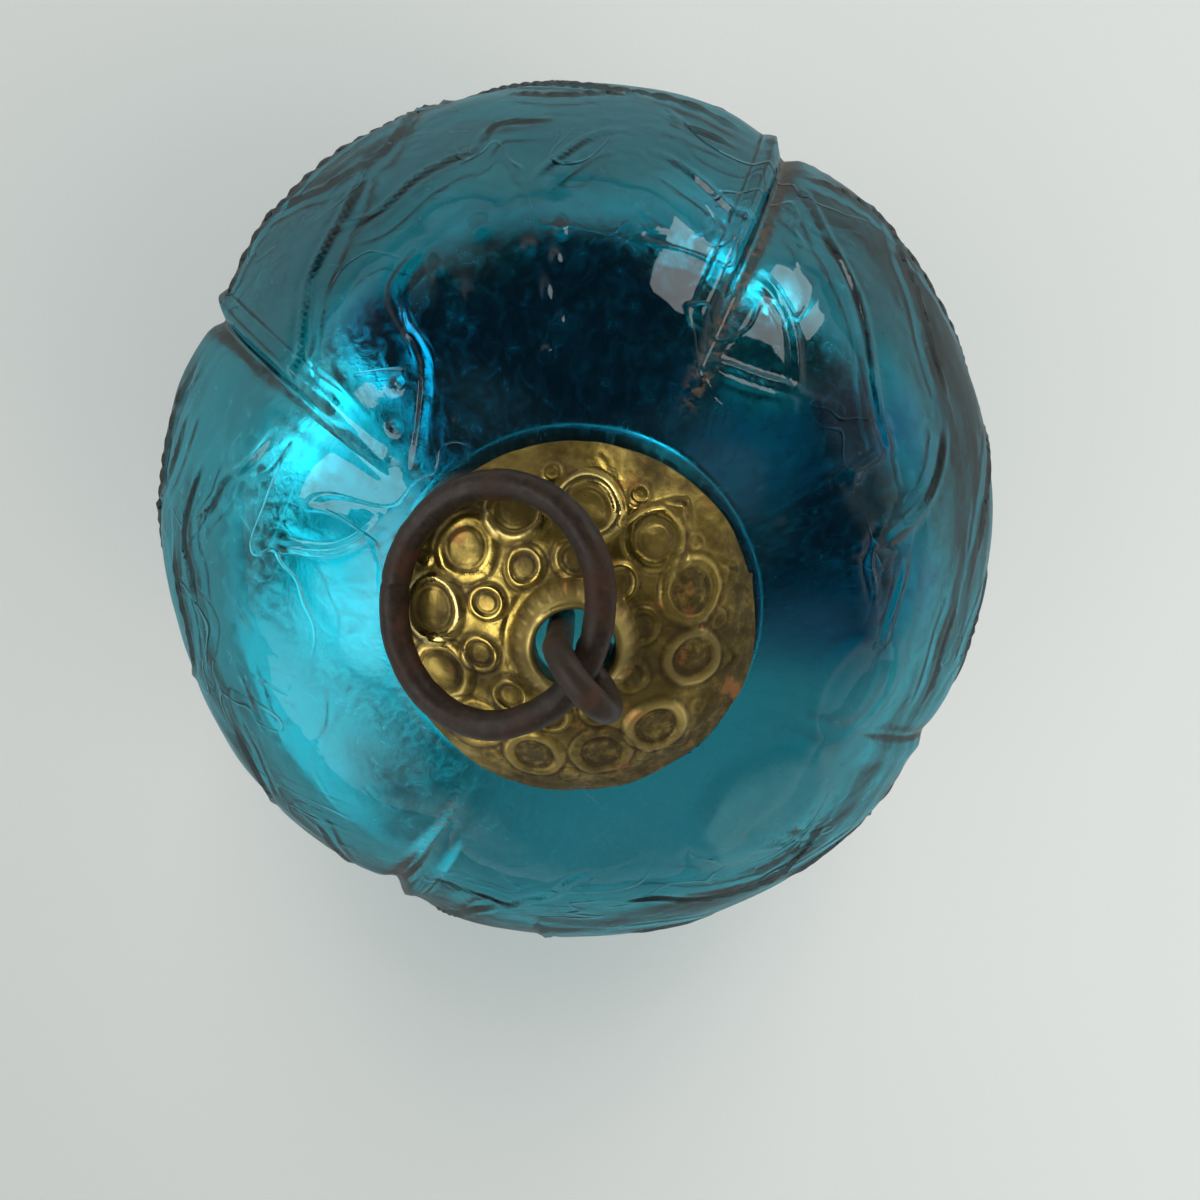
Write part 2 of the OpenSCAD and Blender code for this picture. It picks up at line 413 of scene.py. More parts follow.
# Small blisters in the glass, as (azimuth, polar angle, half length, half width).
BLISTERS = [(94, 21, 0.8, 0.4), (96, 24, 0.6, 0.45), (93, 26.5, 1.2, 0.5), (95, 29.5, 1.5, 0.4), (93, 33, 1.0, 0.4),
            (97, 34.5, 0.7, 0.5), (92, 36, 1.0, 0.5), (104, 38, 0.9, 0.5), (112, 35, 1.6, 0.5), (108, 31, 1.3, 0.35),
            (127, 27, 0.5, 0.5), (133, 24, 0.5, 0.4), (139, 31, 1.6, 0.8), (138, 22, 0.4, 0.4), (24, 21, 0.8, 0.5),
            (12, 28, 1.2, 0.5), (25, 30, 0.8, 0.4), (142, 18.5, 0.5, 0.5), (150, 19.5, 0.6, 0.6)]


def under_veins():
    """Veins of the lower half, which the mould repeats leaf by leaf with small differences."""
    rng = np.random.default_rng(7)
    out = []
    for n, s in enumerate((63, 148, 241, 332)):
        span = ((148, 241, 332, 423)[n] - s)
        mid = s + span * 0.5
        rib = [(mid + rng.uniform(-2, 2), p) for p in (72, 88, 104, 120, 136, 150, 164)]
        out.append((rib, 0.6, 1.1))
        for k, p in enumerate((80, 96, 112, 128, 143)):
            for side in (-1, 1):
                reach = span * 0.44
                a0 = np.interp(p, [r[1] for r in rib], [r[0] for r in rib])
                steps = rng.integers(3, 5)
                pts = [(a0, p + rng.uniform(-3, 3))]
                for i in range(1, steps + 1):
                    f = i / steps
                    pts.append((a0 + side * reach * f, pts[0][1] - 16 * f - 4 * math.sin(3 * f) + rng.uniform(-2.5, 2.5)))
                out.append((pts, rng.uniform(0.4, 0.55), rng.uniform(0.75, 0.95)))
                if k % 2 == 0:
                    b = pts[steps // 2]
                    out.append(([b, (b[0] + side * 4, b[1] + 6), (b[0] + side * 5, b[1] + 11)], 0.4, 0.75))
    return out


def on_ball(az, pol, r=50.0):
    a, p = d2r(np.asarray(az, float)), d2r(np.asarray(pol, float))
    return np.stack([r * np.sin(p) * np.cos(a), r * np.sin(p) * np.sin(a), r * np.cos(p)], -1)


def line_distance(points, line):
    """Least distance from points to the polyline, and the side of it that they lie on."""
    corners = on_ball([c[0] for c in line], [c[1] for c in line])
    best = np.full(len(points), 1e9)
    side = np.zeros(len(points))
    along = np.zeros(len(points))
    run = 0.0
    for a, b in zip(corners[:-1], corners[1:]):
        ab = b - a
        length = np.linalg.norm(ab)
        t = np.clip((points - a) @ ab / length ** 2, 0, 1)
        near = a + t[:, None] * ab
        d = np.linalg.norm(points - near, axis=1)
        closer = d < best
        best = np.where(closer, d, best)
        s = np.einsum("ij,ij->i", np.cross(ab[None, :], points - a), points)
        side = np.where(closer, np.sign(s), side)
        along = np.where(closer, run + t * length, along)
        run += length
    return best, side, along, run


def softened(line, cuts=2):
    """Rounds a polyline's corners (Chaikin)."""
    pts = np.array(line, float)
    for _ in range(cuts):
        a, b = pts[:-1], pts[1:]
        q = np.stack([a * 0.75 + b * 0.25, a * 0.25 + b * 0.75], 1).reshape(-1, 2)
        pts = np.vstack([pts[:1], q, pts[-1:]])
    return pts


ALL_VEINS = [(softened(v[0]), v[1], v[2]) for v in VEINS + under_veins()]


def seam_side(az, pol, seam):
    """Signed distance in mm across a seam, positive towards higher azimuth."""
    at = seam[0] + (seam[1] - seam[0]) * np.clip((pol - 20) / 70, 0, 1)
    d = (az - at + 180) % 360 - 180
    return d2r(d) * 50 * np.sin(d2r(np.clip(pol, 1, 179)))


def relief(az, pol, blur=1.0, amount=1.0):
    """Height of the moulded surface over the plain ball, in mm, with the seams' dirt."""
    points = on_ball(az, pol)
    h = np.zeros(len(points))
    fade = smooth(pol, 17.5, 24) * (1 - smooth(pol, 160, 172))
    dirt = np.zeros(len(points))
    for seam in SEAMS:
        d = seam_side(az, pol, seam)
        over = seam[2] * d
        h -= 0.135 * 1.2 * np.log1p(np.exp((8.2 - np.abs(d)) / 1.2)) * (0.45 + 0.55 * seam[3]) * smooth(pol, 17, 40)
        wide = smooth(pol, 24, 44)
        near = smooth(pol, 20, 31)
        edge = (0.04 + 0.11 * near + 0.60 * wide) * bell(over - 1.75, 0.80 * blur)
        groove = -(0.10 + 0.20 * near + 0.48 * wide) * bell(over + 0.2 * wide, (0.50 + 0.60 * wide) * blur)
        h += (edge + groove) * seam[3]
        dirt = np.maximum(dirt, bell(over + 0.2, 0.75) * smooth(pol, 19, 26) * seam[3])
    for line, height, width in ALL_VEINS:
        mid = on_ball(*line[len(line) // 2])
        reach = max(np.linalg.norm(on_ball(*line[0]) - mid), np.linalg.norm(on_ball(*line[-1]) - mid)) + 7
        near = np.linalg.norm(points - mid, axis=1) < reach
        if not near.any():
            continue
        d, side, along, run = line_distance(points[near], line)
        ends = smooth(along, -0.5, 2.0) * (1 - smooth(along, run - 2.0, run + 0.5))
        w = 0.47 * width * blur
        ridge = 0.56 * height * (bell(d, w) - 0.42 * bell(d * side - 2.0 * w, 1.1 * w))
        step = 0.30 * side * np.minimum(d / (0.8 * w), 1) * np.exp(-d / 3.2)
        h[near] += (ridge + step * height) * (0.25 + 0.75 * ends)
    h += 0.16 * waves(points, 13, 3) + 0.05 * waves(points, 4, 4)
    spot = np.linalg.norm(points - on_ball(311, 30), axis=1)
    h += 0.45 * (1 - smooth(spot, 5.5, 7.6)) + 0.22 * bell(spot - 7.0, 0.8)
    faint = np.linalg.norm(points - on_ball(342, 31), axis=1)
    h += 0.12 * bell(faint - 5.0, 0.8)
    for b_az, b_pol, b_long, b_wide in BLISTERS:
        off = points - on_ball(b_az, b_pol)
        a_, p_ = d2r(b_az), d2r(b_pol)
        down = np.array([math.cos(p_) * math.cos(a_), math.cos(p_) * math.sin(a_), -math.sin(p_)])
        across = np.array([-math.sin(a_), math.cos(a_), 0])
        h += 0.26 * np.exp(-((off @ down) / b_long) ** 2 - ((off @ across) / b_wide) ** 2 - np.where(points[:, 2] > 0, 0, 9))
    return h * amount * fade, dirt


def oval(az, pol):
    """How much less than round the hand-blown ball is across X, in mm."""
    return 1.15 * np.cos(d2r(az)) ** 2 * smooth(pol, 22, 60)


def globe_mesh():
    az = np.concatenate([np.linspace(0, 88, 111, False), np.linspace(88, 101, 43, False), np.linspace(101, 360, 326, False)])
    cols = len(az)
    flare = [(5.5, 50.2), (5.55, 50.75), (5.9, 50.98), (6.6, 51.0), (7.6, 50.98), (8.35, 50.86)]
    for t in np.linspace(40, 84, 9):
        a = d2r(t)
        flare.append((13.9 - 6.45 * math.cos(a), 54.5 - 6.45 * math.sin(a)))
    flare += [(14.25, 48.02), (15.1, 47.68)]
    pols = np.concatenate([np.arange(18.2, 38, 0.32), np.arange(38, 56, 0.52), np.arange(56.2, 84, 0.93), np.linspace(84.9, 179.2, 30)])
    verts = []
    for r, z in flare:
        verts.append(np.stack([r * np.cos(d2r(az)), r * np.sin(d2r(az)), np.full(cols, z)], -1))
    dirt = [np.zeros(cols)] * len(flare)
    grid_az, grid_pol = np.meshgrid(az, pols)
    h, soil = relief(grid_az.ravel(), grid_pol.ravel())
    ball = on_ball(grid_az.ravel(), grid_pol.ravel(), 1.0) * (BALL_R + h - oval(grid_az.ravel(), grid_pol.ravel()))[:, None]
    ball[:, 2] = np.maximum(ball[:, 2], -CENTRE_Z)
    verts.append(ball)
    dirt.append(soil)
    outer_rows = len(flare) + len(pols)
    # inner wall, with the same moulding softened by the thickness of the glass
    cols2 = 150
    az2 = np.arange(cols2) * 360 / cols2
    pols2 = np.concatenate([np.linspace(8.2, 13.5, 4), np.linspace(14.3, 19.3, 11), np.linspace(21, 178.6, 78)])
    bore = [(5.5, 50.2), (5.5, 49.2), (5.5, 48.4)]
    for r, z in bore[1:]:
        verts.append(np.stack([r * np.cos(d2r(az2)), r * np.sin(d2r(az2)), np.full(cols2, z)], -1))
    g_az, g_pol = np.meshgrid(az2, pols2)
    h2, _ = relief(g_az.ravel(), g_pol.ravel(), blur=1.7, amount=0.62)
    thick = 2.0 + 0.25 * waves(on_ball(g_az.ravel(), g_pol.ravel()), 22, 12)
    thick += 1.5 * (1 - smooth(g_pol.ravel(), 18, 42)) - 2.55 * (1 - smooth(g_pol.ravel(), 13.6, 18.6))
    inner = on_ball(g_az.ravel(), g_pol.ravel(), 1.0) * (BALL_R + h2 - thick - oval(g_az.ravel(), g_pol.ravel()))[:, None]
    inner[:, 2] = np.maximum(inner[:, 2], -CENTRE_Z + 1.7)
    verts.append(inner)
    verts = np.concatenate(verts)
    faces = [strip(outer_rows, cols)]
    last = (outer_rows - 1) * cols
    start2 = outer_rows * cols
    rows2 = 2 + len(pols2)
    faces.append(strip(rows2, cols2, start2, flip=True))
    faces = [f for part in faces for f in part]
    # the neck's top ring has more columns than the bore below it
    i = j = 0
    while i < cols or j < cols2:
        if i < cols and (az[(i + 1) % cols] or 360) <= (j + 1) * 360 / cols2:
            faces.append((i, (i + 1) % cols, start2 + j % cols2))
            i += 1
        else:
            faces.append((i % cols, start2 + (j + 1) % cols2, start2 + j))
            j += 1
    verts = np.vstack([verts, [[0, 0, -CENTRE_Z]], [[0, 0, -CENTRE_Z + 1.7]]])
    pole, pole2 = len(verts) - 2, len(verts) - 1
    for j in range(cols):
        faces.append((last + j, pole, last + (j + 1) % cols))
    last2 = start2 + (rows2 - 1) * cols2
    for j in range(cols2):
        faces.append((last2 + (j + 1) % cols2, pole2, last2 + j))
    verts[:, 2] += CENTRE_Z
    o = build("glass_globe_relief", verts, faces)
    o.data.materials.append(glass_outer())
    o.data.materials.append(glass_silvered())
    v_first_inner = start2 + 2 * cols2
    inside = np.array([all(v >= v_first_inner and v != pole for v in p.vertices) for p in o.data.polygons])
    o.data.polygons.foreach_set("material_index", inside.astype(np.int32))
    # attributes
    pts = verts - np.array([0, 0, CENTRE_Z])
    a = np.degrees(np.arctan2(pts[:, 1], pts[:, 0])) % 360
    p = np.degrees(np.arccos(np.clip(pts[:, 2] / np.linalg.norm(pts, axis=1), -1, 1)))
    d = np.zeros(len(verts))
    d[: outer_rows * cols] = np.concatenate(dirt)
    near_63 = bell((a - 63 + 180) % 360 - 180, 14) + bell((a - 240 + 180) % 360 - 180, 14)
    d *= 0.12 + 0.50 * np.clip(near_63, 0, 1)
    point_attr(o, "dirt", d)
    facing = np.cos(d2r(a - 62))
    ball = on_ball(a, p)
    edge = p + 5 * waves(ball, 9, 71) + 1.5 * waves(ball, 3, 72)
    # painted shade: near the neck, on the side towards azimuth 62, the silvering is tinted dark blue to darken the
    # reflection there
    deep = (1 - smooth(edge, 30, 43)) * smooth(facing + 0.12 * waves(ball, 8, 73), 0.05, 0.60) * smooth(p, 17.2, 19)
    deep *= 1 - 0.85 * (1 - smooth(np.linalg.norm(ball - on_ball(55, 33), axis=1), 5, 8))
    point_attr(o, "deep", np.clip(0.10 + 0.95 * deep, 0, 1))
    # painted shade: the silvering is darkened on the side towards azimuth 72 away from the neck, and beside the neck
    # around azimuth 147, where the reflections are dim
    upper = smooth(np.cos(d2r(a - 72)), -0.10, 0.60)
    silver_shade = smooth(edge, 33, 46) * (1 - 0.55 * smooth(p, 62, 85)) * upper
    near_neck = (1 - smooth(p + 1.2 * waves(ball, 5, 77), 27.5, 31)) * bell((a - 147 + 180) % 360 - 180, 36)
    silver_shade = np.maximum(silver_shade, near_neck)
    point_attr(o, "silver_shade", np.clip(silver_shade + 0.12 * waves(ball, 6, 74), 0, 1))
    spot = np.linalg.norm(ball - on_ball(311, 30), axis=1) + 0.5 * waves(ball, 3, 75)
    haze = (1 - smooth(spot, 5.6, 6.6)) * (p < 90)
    haze = np.maximum(haze, 0.12 * smooth(waves(ball, 14, 76), 0.2, 0.9))
    point_attr(o, "haze", haze * (pts[:, 2] < 49.0))
    brush = np.stack([14 * np.cos(d2r(a)), 14 * np.sin(d2r(a)), 0.42 * d2r(p) * BALL_R], -1)
    b = o.data.attributes.new("brush", "FLOAT_VECTOR", "POINT")
    b.data.foreach_set("vector", brush.astype(np.float32).ravel())
    def lobe(az_mid, half):
        return bell((a - az_mid + 180) % 360 - 180, half)

    silver = 0.97 - 0.30 * smooth(p, 50, 80) - 0.15 * smooth(p, 80, 150)
    silver -= 0.12 * lobe(285, 45) * smooth(p, 16, 26)
    point_attr(o, "silver", np.clip(silver, 0, 1))
    return o


# ------------------------------------------------------------------ cap
DOME_R = 21.0
cap_lo, cap_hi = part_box("brass_cap")
CAP_R = cap_hi.x / MM
LIP_H = cap_hi.z / MM - CENTRE_Z
DOME_TOP = LIP_H - 1.65
DOME_H = DOME_TOP - DOME_R
OFF = np.array([-0.93, 0.06])


def cap_height(x, y):
    """Embossing of the cap over its plain dome, in mm, and how deep, worn and dulled each point is, with painted
    shade on its right and lower side.
    """
    r = np.hypot(x, y)
    p = np.stack([x, y, np.zeros_like(x)], -1)
    # the tools were struck by hand, so nothing is quite round or evenly spaced
    px = x - OFF[0] + 0.13 * waves(p, 3.2, 24)
    py = y - OFF[1] + 0.13 * waves(p, 3.2, 25)
    h = np.zeros_like(x)
    line = np.zeros_like(x)
    disc = np.zeros_like(x)
    rng = np.random.default_rng(5)
    for i in range(12):
        f = d2r(17 + i * 30 + rng.uniform(-3, 3))
        pitch = 9.7 + rng.uniform(-0.3, 0.3)
        cx, cy = pitch * math.cos(f), pitch * math.sin(f)
        u = (px - cx) * math.cos(f) + (py - cy) * math.sin(f)
        v = -(px - cx) * math.sin(f) + (py - cy) * math.cos(f)
        d = np.hypot(u * 1.08, v)
        size = 1.0 + rng.uniform(-0.07, 0.10)
        bold = 0.85 + rng.uniform(-0.45, 0.35)
        h += bold * 0.34 * bell(d - 2.02 * size, 0.46) + 0.10 * (1 - smooth(d, 1.3, 1.6))
        h += 0.05 * np.cos(2.2 * u + i) * (1 - smooth(d, 1.2, 1.5))
        line += 0.85 * bell(d - 1.50 * size, 0.13) + 0.55 * bell(d - 1.22 * size, 0.10)
        line += 0.75 * bell(d - 2.62 * size, 0.14)
        disc = np.maximum(disc, 1 - smooth(d, 1.35, 1.6))
        # a pointed arch round each ring, towards the rim; few of them were struck deep
        depth = (0.55, 1.0, 0.15, 0.1, 0.25, 0.2, 0.15, 0.3, 0.25, 0.35, 0.5, 0.6)[i]
        for side in (-1, 1):
            a = np.array([-0.6, side * 2.75])
            b = np.array([3.45, 0.0])
            ab = b - a
            t = np.clip(((u - a[0]) * ab[0] + (v - a[1]) * ab[1]) / (ab @ ab), 0, 1)
            bow = 0.55 * np.sin(t * math.pi) * side
            e = np.hypot(u - a[0] - t * ab[0], v - a[1] - t * ab[1] - bow)
            line += 1.5 * depth * bell(e, 0.17) * smooth(t, 0, 0.25)
            h += 0.10 * depth * bell(e - 0.42, 0.22)
        g = f + d2r(15)
        e = np.hypot(px - 11.7 * math.cos(g), py - 11.7 * math.sin(g))
        faint = 0.4 + 0.6 * rng.uniform()
        h += faint * (0.16 * bell(e - 0.55, 0.20) + 0.05 * bell(e, 0.3))
        line += 0.5 * faint * bell(e - 0.86, 0.12)
    for i in range(10):
        f = d2r(9 + i * 36 + rng.uniform(-3, 3))
        pitch = 5.9 + rng.uniform(-0.15, 0.15)
        d = np.hypot(px - pitch * math.cos(f), py - pitch * math.sin(f))
        bold = 0.8 + rng.uniform(-0.35, 0.35)
        h += bold * 0.24 * bell(d - 1.16, 0.27) + 0.07 * (1 - smooth(d, 0.6, 0.85))
        line += 0.8 * bell(d - 0.82, 0.12) + 0.7 * bell(d - 1.56, 0.13)
        disc = np.maximum(disc, 0.8 * (1 - smooth(d, 0.6, 0.85)))
    line = np.clip(line, 0, 1.6) * (0.55 + 0.45 * np.clip(0.5 + waves(p, 2.6, 26), 0, 1))
    band = (1 - smooth(r, 13.0, 13.8)) * smooth(r, 4.4, 5.0)
    line = line * band
    h = h * (1 - 0.8 * smooth(r, 12.6, 13.8)) * smooth(r, 4.3, 5.0)
    h = h - 0.13 * line - 0.14 * bell(r - 4.95, 0.35)
    deep = np.clip(0.95 * line + 0.30 - h * 1.5 + 0.30 * waves(p, 1.8, 21), 0, 1)
    worn = smooth(h, 0.15, 0.36)
    h = h + 0.085 * waves(p, 3.0, 22) + 0.035 * waves(p, 1.2, 23) + 0.012 * waves(p, 0.5, 27)
    # dull flats, and painted shade that makes the right and lower side darker and duller
    turn = np.cos(np.arctan2(y, x) - d2r(318))
    patina_and_shade = 0.50 * disc + 0.45 * smooth(r, 10.8, 13.0) + 0.75 * smooth(turn, -0.15, 0.7) + 0.22 * waves(p, 4.0, 28)
    # a fold at the right, where the sheet was bent back
    f = (np.degrees(np.arctan2(y, x)) + 180) % 360 - 180
    h += 0.20 * smooth(f, 14.5, 16.5) * (1 - smooth(f, 16.5, 30)) * smooth(r, 9.6, 13.0)
    h -= 0.16 * smooth(r, 11.0, 14) * bell(f - 8, 7)
    return h, deep, worn, np.clip(patina_and_shade, 0, 1)


def cap_mesh():
    cols = 480
    az = np.arange(cols) * 360 / cols
    a = d2r(az)
    rim = CAP_R - 0.10 + 0.09 * waves(np.stack([14 * np.cos(a), 14 * np.sin(a), 0 * a], -1), 5, 31)
    centred = (az + 180) % 360 - 180
    rim -= 0.34 * smooth(centred, 16.2, 17.2) * (1 - smooth(centred, 17.2, 34))
    hole = 2.85
    prof = [(hole, LIP_H - 2.6), (hole, LIP_H - 0.35), (hole + 0.06, LIP_H - 0.10), (hole + 0.22, LIP_H - 0.01),
            (3.25, LIP_H - 0.02), (3.42, LIP_H - 0.14), (3.6, LIP_H - 0.42), (3.85, LIP_H - 0.80),
            (4.1, LIP_H - 1.18), (4.35, LIP_H - 1.52), (4.6, LIP_H - 1.82)]
    rows = []
    for r, z in prof:
        rope = 0.0
        if 3.9 < r < 4.5:
            rope = 0.30 * np.clip(np.sin(a * 26 + 0.8 * np.sin(3 * a)), -0.5, 1) * (1 - abs(r - 4.2) / 0.36)
        rows.append(np.stack([r * np.cos(a), r * np.sin(a), z + rope + 0 * a], -1))
    grime = np.clip(0.5 + 0.5 * waves(np.stack([4 * np.cos(a), 4 * np.sin(a), 0 * a], -1), 1.2, 33), 0, 1)
    patina_and_shade = [0.3 + 0.4 * grime] * 11
    radial = np.linspace(0, 1, 104)[1:]
    deep = [np.full(cols, 0.5)] * 4 + [np.full(cols, 0.15)] * 4 + [np.full(cols, 0.5)] * 3
    worn = [np.full(cols, 0.2)] * 2 + [np.full(cols, 0.9)] * 7 + [np.full(cols, 0.2)] * 2
    for t in radial:
        r = 4.6 + (rim - 4.6) * t
        x, y = r * np.cos(a), r * np.sin(a)
        h, dp, wn, pt = cap_height(x, y)
        n = np.stack([x, y, np.sqrt(DOME_R ** 2 - x * x - y * y)], -1) / DOME_R
        base = n * (DOME_R + h)[:, None] + np.array([0, 0, DOME_H])
        base[:, 2] += 0.10 * (1 - smooth(r, 4.6, 5.2))
        rows.append(base)
        deep.append(dp)
        worn.append(wn)
        patina_and_shade.append(pt)
    top_rows = len(rows)
    under = []
    for t in np.linspace(1, 0, 24):
        r = 4.4 + (rim - 0.03 - 4.4) * t
        x, y = r * np.cos(a), r * np.sin(a)
        h = cap_height(x, y)[0]
        n = np.stack([x, y, np.sqrt(DOME_R ** 2 - x * x - y * y)], -1) / DOME_R
        under.append(n * (DOME_R + np.clip(h, -0.3, 0.1) * 0.6 - 0.48)[:, None] + np.array([0, 0, DOME_H]))
    rows += under
    verts = np.concatenate(rows)
    n_rows = len(rows)
    faces = list(strip(n_rows, cols)) + list(link_rows((n_rows - 1) * cols, 0, cols))
    verts[:, 2] += CENTRE_Z
    o = build("brass_cap_embossed", verts, faces)
    deep += [np.full(cols, 0.7)] * len(under)
    worn += [np.full(cols, 0.0)] * len(under)
    patina_and_shade += [np.full(cols, 0.6)] * len(under)
    point_attr(o, "cavity", np.concatenate(deep))
    point_attr(o, "worn", np.concatenate(worn))
    point_attr(o, "patina_and_shade", np.concatenate(patina_and_shade))
    o.data.materials.append(brass())
    return o


# ------------------------------------------------------------------ wires
def sweep(name, path, radius, sides, closed, rust):
    """A round wire along path (N x 3, mm) with radius per point and per side, and round ends if it is open."""
    path = np.asarray(path, float)
    n = len(path)
    if closed:
        tang = np.roll(path, -1, 0) - np.roll(path, 1, 0)
    else:
        tang = np.gradient(path, axis=0)
    tang /= np.linalg.norm(tang, axis=1)[:, None]
    u = np.cross(tang[0], [0.3, 0.2, 1.0])
    u /= np.linalg.norm(u)
    frames = []
    for t in tang:
        u = u - (u @ t) * t
        u /= np.linalg.norm(u)
        frames.append((u.copy(), np.cross(t, u)))
    twist = 0.0
    if closed:
        u_end = frames[-1][0] - (frames[-1][0] @ tang[0]) * tang[0]
        twist = math.atan2(u_end @ frames[0][1], u_end @ frames[0][0])
    s = np.arange(sides) * 2 * math.pi / sides
    verts = []
    for i in range(n):
        w = -twist * i / n if closed else 0.0
        uu, vv = frames[i]
        ring = np.cos(s + w)[:, None] * uu + np.sin(s + w)[:, None] * vv
        verts.append(path[i] + ring * np.asarray(radius[i])[..., None])
    verts = np.concatenate(verts)
    i = np.arange(n if closed else n - 1)[:, None]
    j = np.arange(sides)[None, :]
    i2, j2 = (i + 1) % n, (j + 1) % sides
    faces = [tuple(f) for f in np.stack([i * sides + j, i * sides + j2, i2 * sides + j2, i2 * sides + j], -1).reshape(-1, 4)]
    if not closed:
        for end, row, sign in ((0, 0, -1), (n - 1, (n - 1) * sides, 1)):
            tip = path[end] + sign * tang[end] * np.mean(radius[end]) * 0.35
            verts = np.vstack([verts, tip])
            t = len(verts) - 1
            for k in range(sides):
                f = (row + k, row + (k + 1) % sides, t)
                faces.append(f if sign > 0 else f[::-1])
    o = build(name, verts, faces)
    point_attr(o, "rust", rust(verts))
    return o


ring_joint = next(j for j in frame["joints"] if j["name"] == "ring_swing")
SEAT = np.array(ring_joint["pos_m"]) / MM
RING_MID = np.array(next(m for m in frame["record"]["mounts"] if m["name"] == "hanging_ring")["pos_m"]) / MM
RING_AXIS = np.array(next(m for m in frame["record"]["mounts"] if m["name"] == "hanging_ring")["axis"])


def ring_mesh():
    n, sides, wire = 260, 28, 1.10
    out = SEAT - RING_MID
    out -= (out @ RING_AXIS) * RING_AXIS
    mean = np.linalg.norm(out)
    u = out / mean
    v = np.cross(RING_AXIS, u)
    t = np.arange(n) * 2 * math.pi / n
    circle = np.cos(t)[:, None] * u + np.sin(t)[:, None] * v
    away = smooth(np.minimum(t, 2 * math.pi - t), 0.25, 0.7)
    wob = 0.10 * waves(circle * 8, 9, 51) * away
    path = RING_MID + circle * (mean + wob)[:, None] + RING_AXIS * (0.06 * waves(circle * 8, 11, 52) * away)[:, None]
    s = np.arange(sides) * 2 * math.pi / sides
    radius = []
    for i in range(n):
        pts = path[i] + np.cos(s)[:, None] * u * 1.1 + np.sin(s)[:, None] * RING_AXIS * 1.1
        rough = 0.035 * waves(pts, 1.2, 53) + 0.03 * waves(pts, 3.2, 54)
        radius.append(wire - 0.035 + np.minimum(rough, 0.03) - 0.02 * (1 - away[i]))
    # the wire's two ends meet in a butt joint on the far side
    gap = np.abs(t - math.pi * 1.12) * mean
    for i in range(n):
        radius[i] = radius[i] - 0.10 * math.exp(-(gap[i] / 0.16) ** 2)

    def rust(p):
        inward = (p - RING_MID)
        inward = np.linalg.norm(inward - (inward @ RING_AXIS)[:, None] * RING_AXIS, axis=1)
        return np.clip(0.45 + 0.55 * (1 - smooth(inward, mean - 0.9, mean + 0.2)), 0, 1)

    o = sweep("ring_iron", path, radius, sides, True, rust)
    o.data.materials.append(iron("rusted_ring_iron", (0.017, 0.0105, 0.008), (0.060, 0.023, 0.011), 0.46, 0.68))
    return o


def hanger_mesh():
    azimuth = d2r(-50)
    lean_by = d2r(22)
    bend_h = LIP_H + 1.28
    eye_half, eye_top = 2.5, 5.3 - 2.5

    def lean(x, h):
        return (x * math.cos(lean_by) + h * math.sin(lean_by), bend_h - x * math.sin(lean_by) + h * math.cos(lean_by))

    def leg(side):
        b = lean(side * 1.65, 0)
        return [(side * 7.5, bend_h - 15.5), (b[0], bend_h - 6.6), b, lean(side * eye_half, 1.5), lean(side * eye_half, eye_top)]

    bow = [lean(-eye_half * math.cos(t), eye_top + eye_half * math.sin(t)) for t in np.linspace(0, math.pi, 25)[1:-1]]
    flat = leg(-1) + bow + leg(1)[::-1]
    pts = np.array(flat)
    # dense, with its corners eased
    seg = np.linalg.norm(np.diff(pts, axis=0), axis=1)
    along = np.concatenate([[0], np.cumsum(seg)])
    n = 300
    s = np.linspace(0, along[-1], n)
    line = np.stack([np.interp(s, along, pts[:, k]) for k in (0, 1)], -1)
    kernel = np.hanning(11)
    kernel /= kernel.sum()
    pad = np.vstack([np.repeat(line[:1], 5, 0), line, np.repeat(line[-1:], 5, 0)])
    eased = np.stack([np.convolve(pad[:, k], kernel, "valid") for k in (0, 1)], -1)
    line = eased
    path = np.stack([line[:, 0] * math.cos(azimuth), line[:, 0] * math.sin(azimuth), line[:, 1]], -1)
    sides = 24
    ang = np.arange(sides) * 2 * math.pi / sides
    radius = []
    for i in range(n):
        pts3 = path[i] + np.stack([np.cos(ang), np.sin(ang), 0 * ang], -1)
        rough = 0.03 * waves(pts3, 1.1, 61) + 0.03 * waves(pts3, 3.0, 62)
        radius.append(1.0 - 0.03 + np.minimum(rough, 0.02))

    def rust(p):
        return np.clip(0.55 + 0.45 * smooth(p[:, 2], bend_h + 1, bend_h + 3.5), 0, 1)

    path[:, 2] += CENTRE_Z
    o = sweep("hanger_wire", path, radius, sides, False, lambda p: rust(p - np.array([0, 0, CENTRE_Z])))
    o.data.materials.append(iron("rusted_wire_iron", (0.028, 0.019, 0.014), (0.056, 0.030, 0.019), 0.44, 0.70))
    return o


# ------------------------------------------------------------------ pieces on their bodies
globe = globe_mesh()
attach(globe, "globe"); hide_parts("glass_globe")
cap = cap_mesh()
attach(cap, "cap"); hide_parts("brass_cap")
ring = ring_mesh()
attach(ring, "ring"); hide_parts("ring")
hanger = hanger_mesh()
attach(hanger, "hanger"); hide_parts("hanger")


# ------------------------------------------------------------------ floor, world and lamps
def floor():
    me = bpy.data.meshes.new("floor")
    s = 3.0
    me.from_pydata([(-s, -s, 0), (s, -s, 0), (s, s, 0), (-s, s, 0)], [], [(0, 1, 2, 3)])
    o = bpy.data.objects.new("floor", me)
    scene.collection.objects.link(o)
    m, nt = material("pale_floor")
    p = add(nt, "ShaderNodeBsdfPrincipled")
    at = coords(nt)
    tone = mix_colour(nt, noise(nt, at, 6, 2), (0.80, 0.82, 0.785), (0.84, 0.85, 0.82))
    put(nt, p, Base_Color=tone, Roughness=0.85)
    put(nt, p, Normal=bump(nt, noise(nt, at, 2500, 2), 0.2, 0.0001))
    output(nt, p.outputs[0])
    me.materials.append(m)
    return o


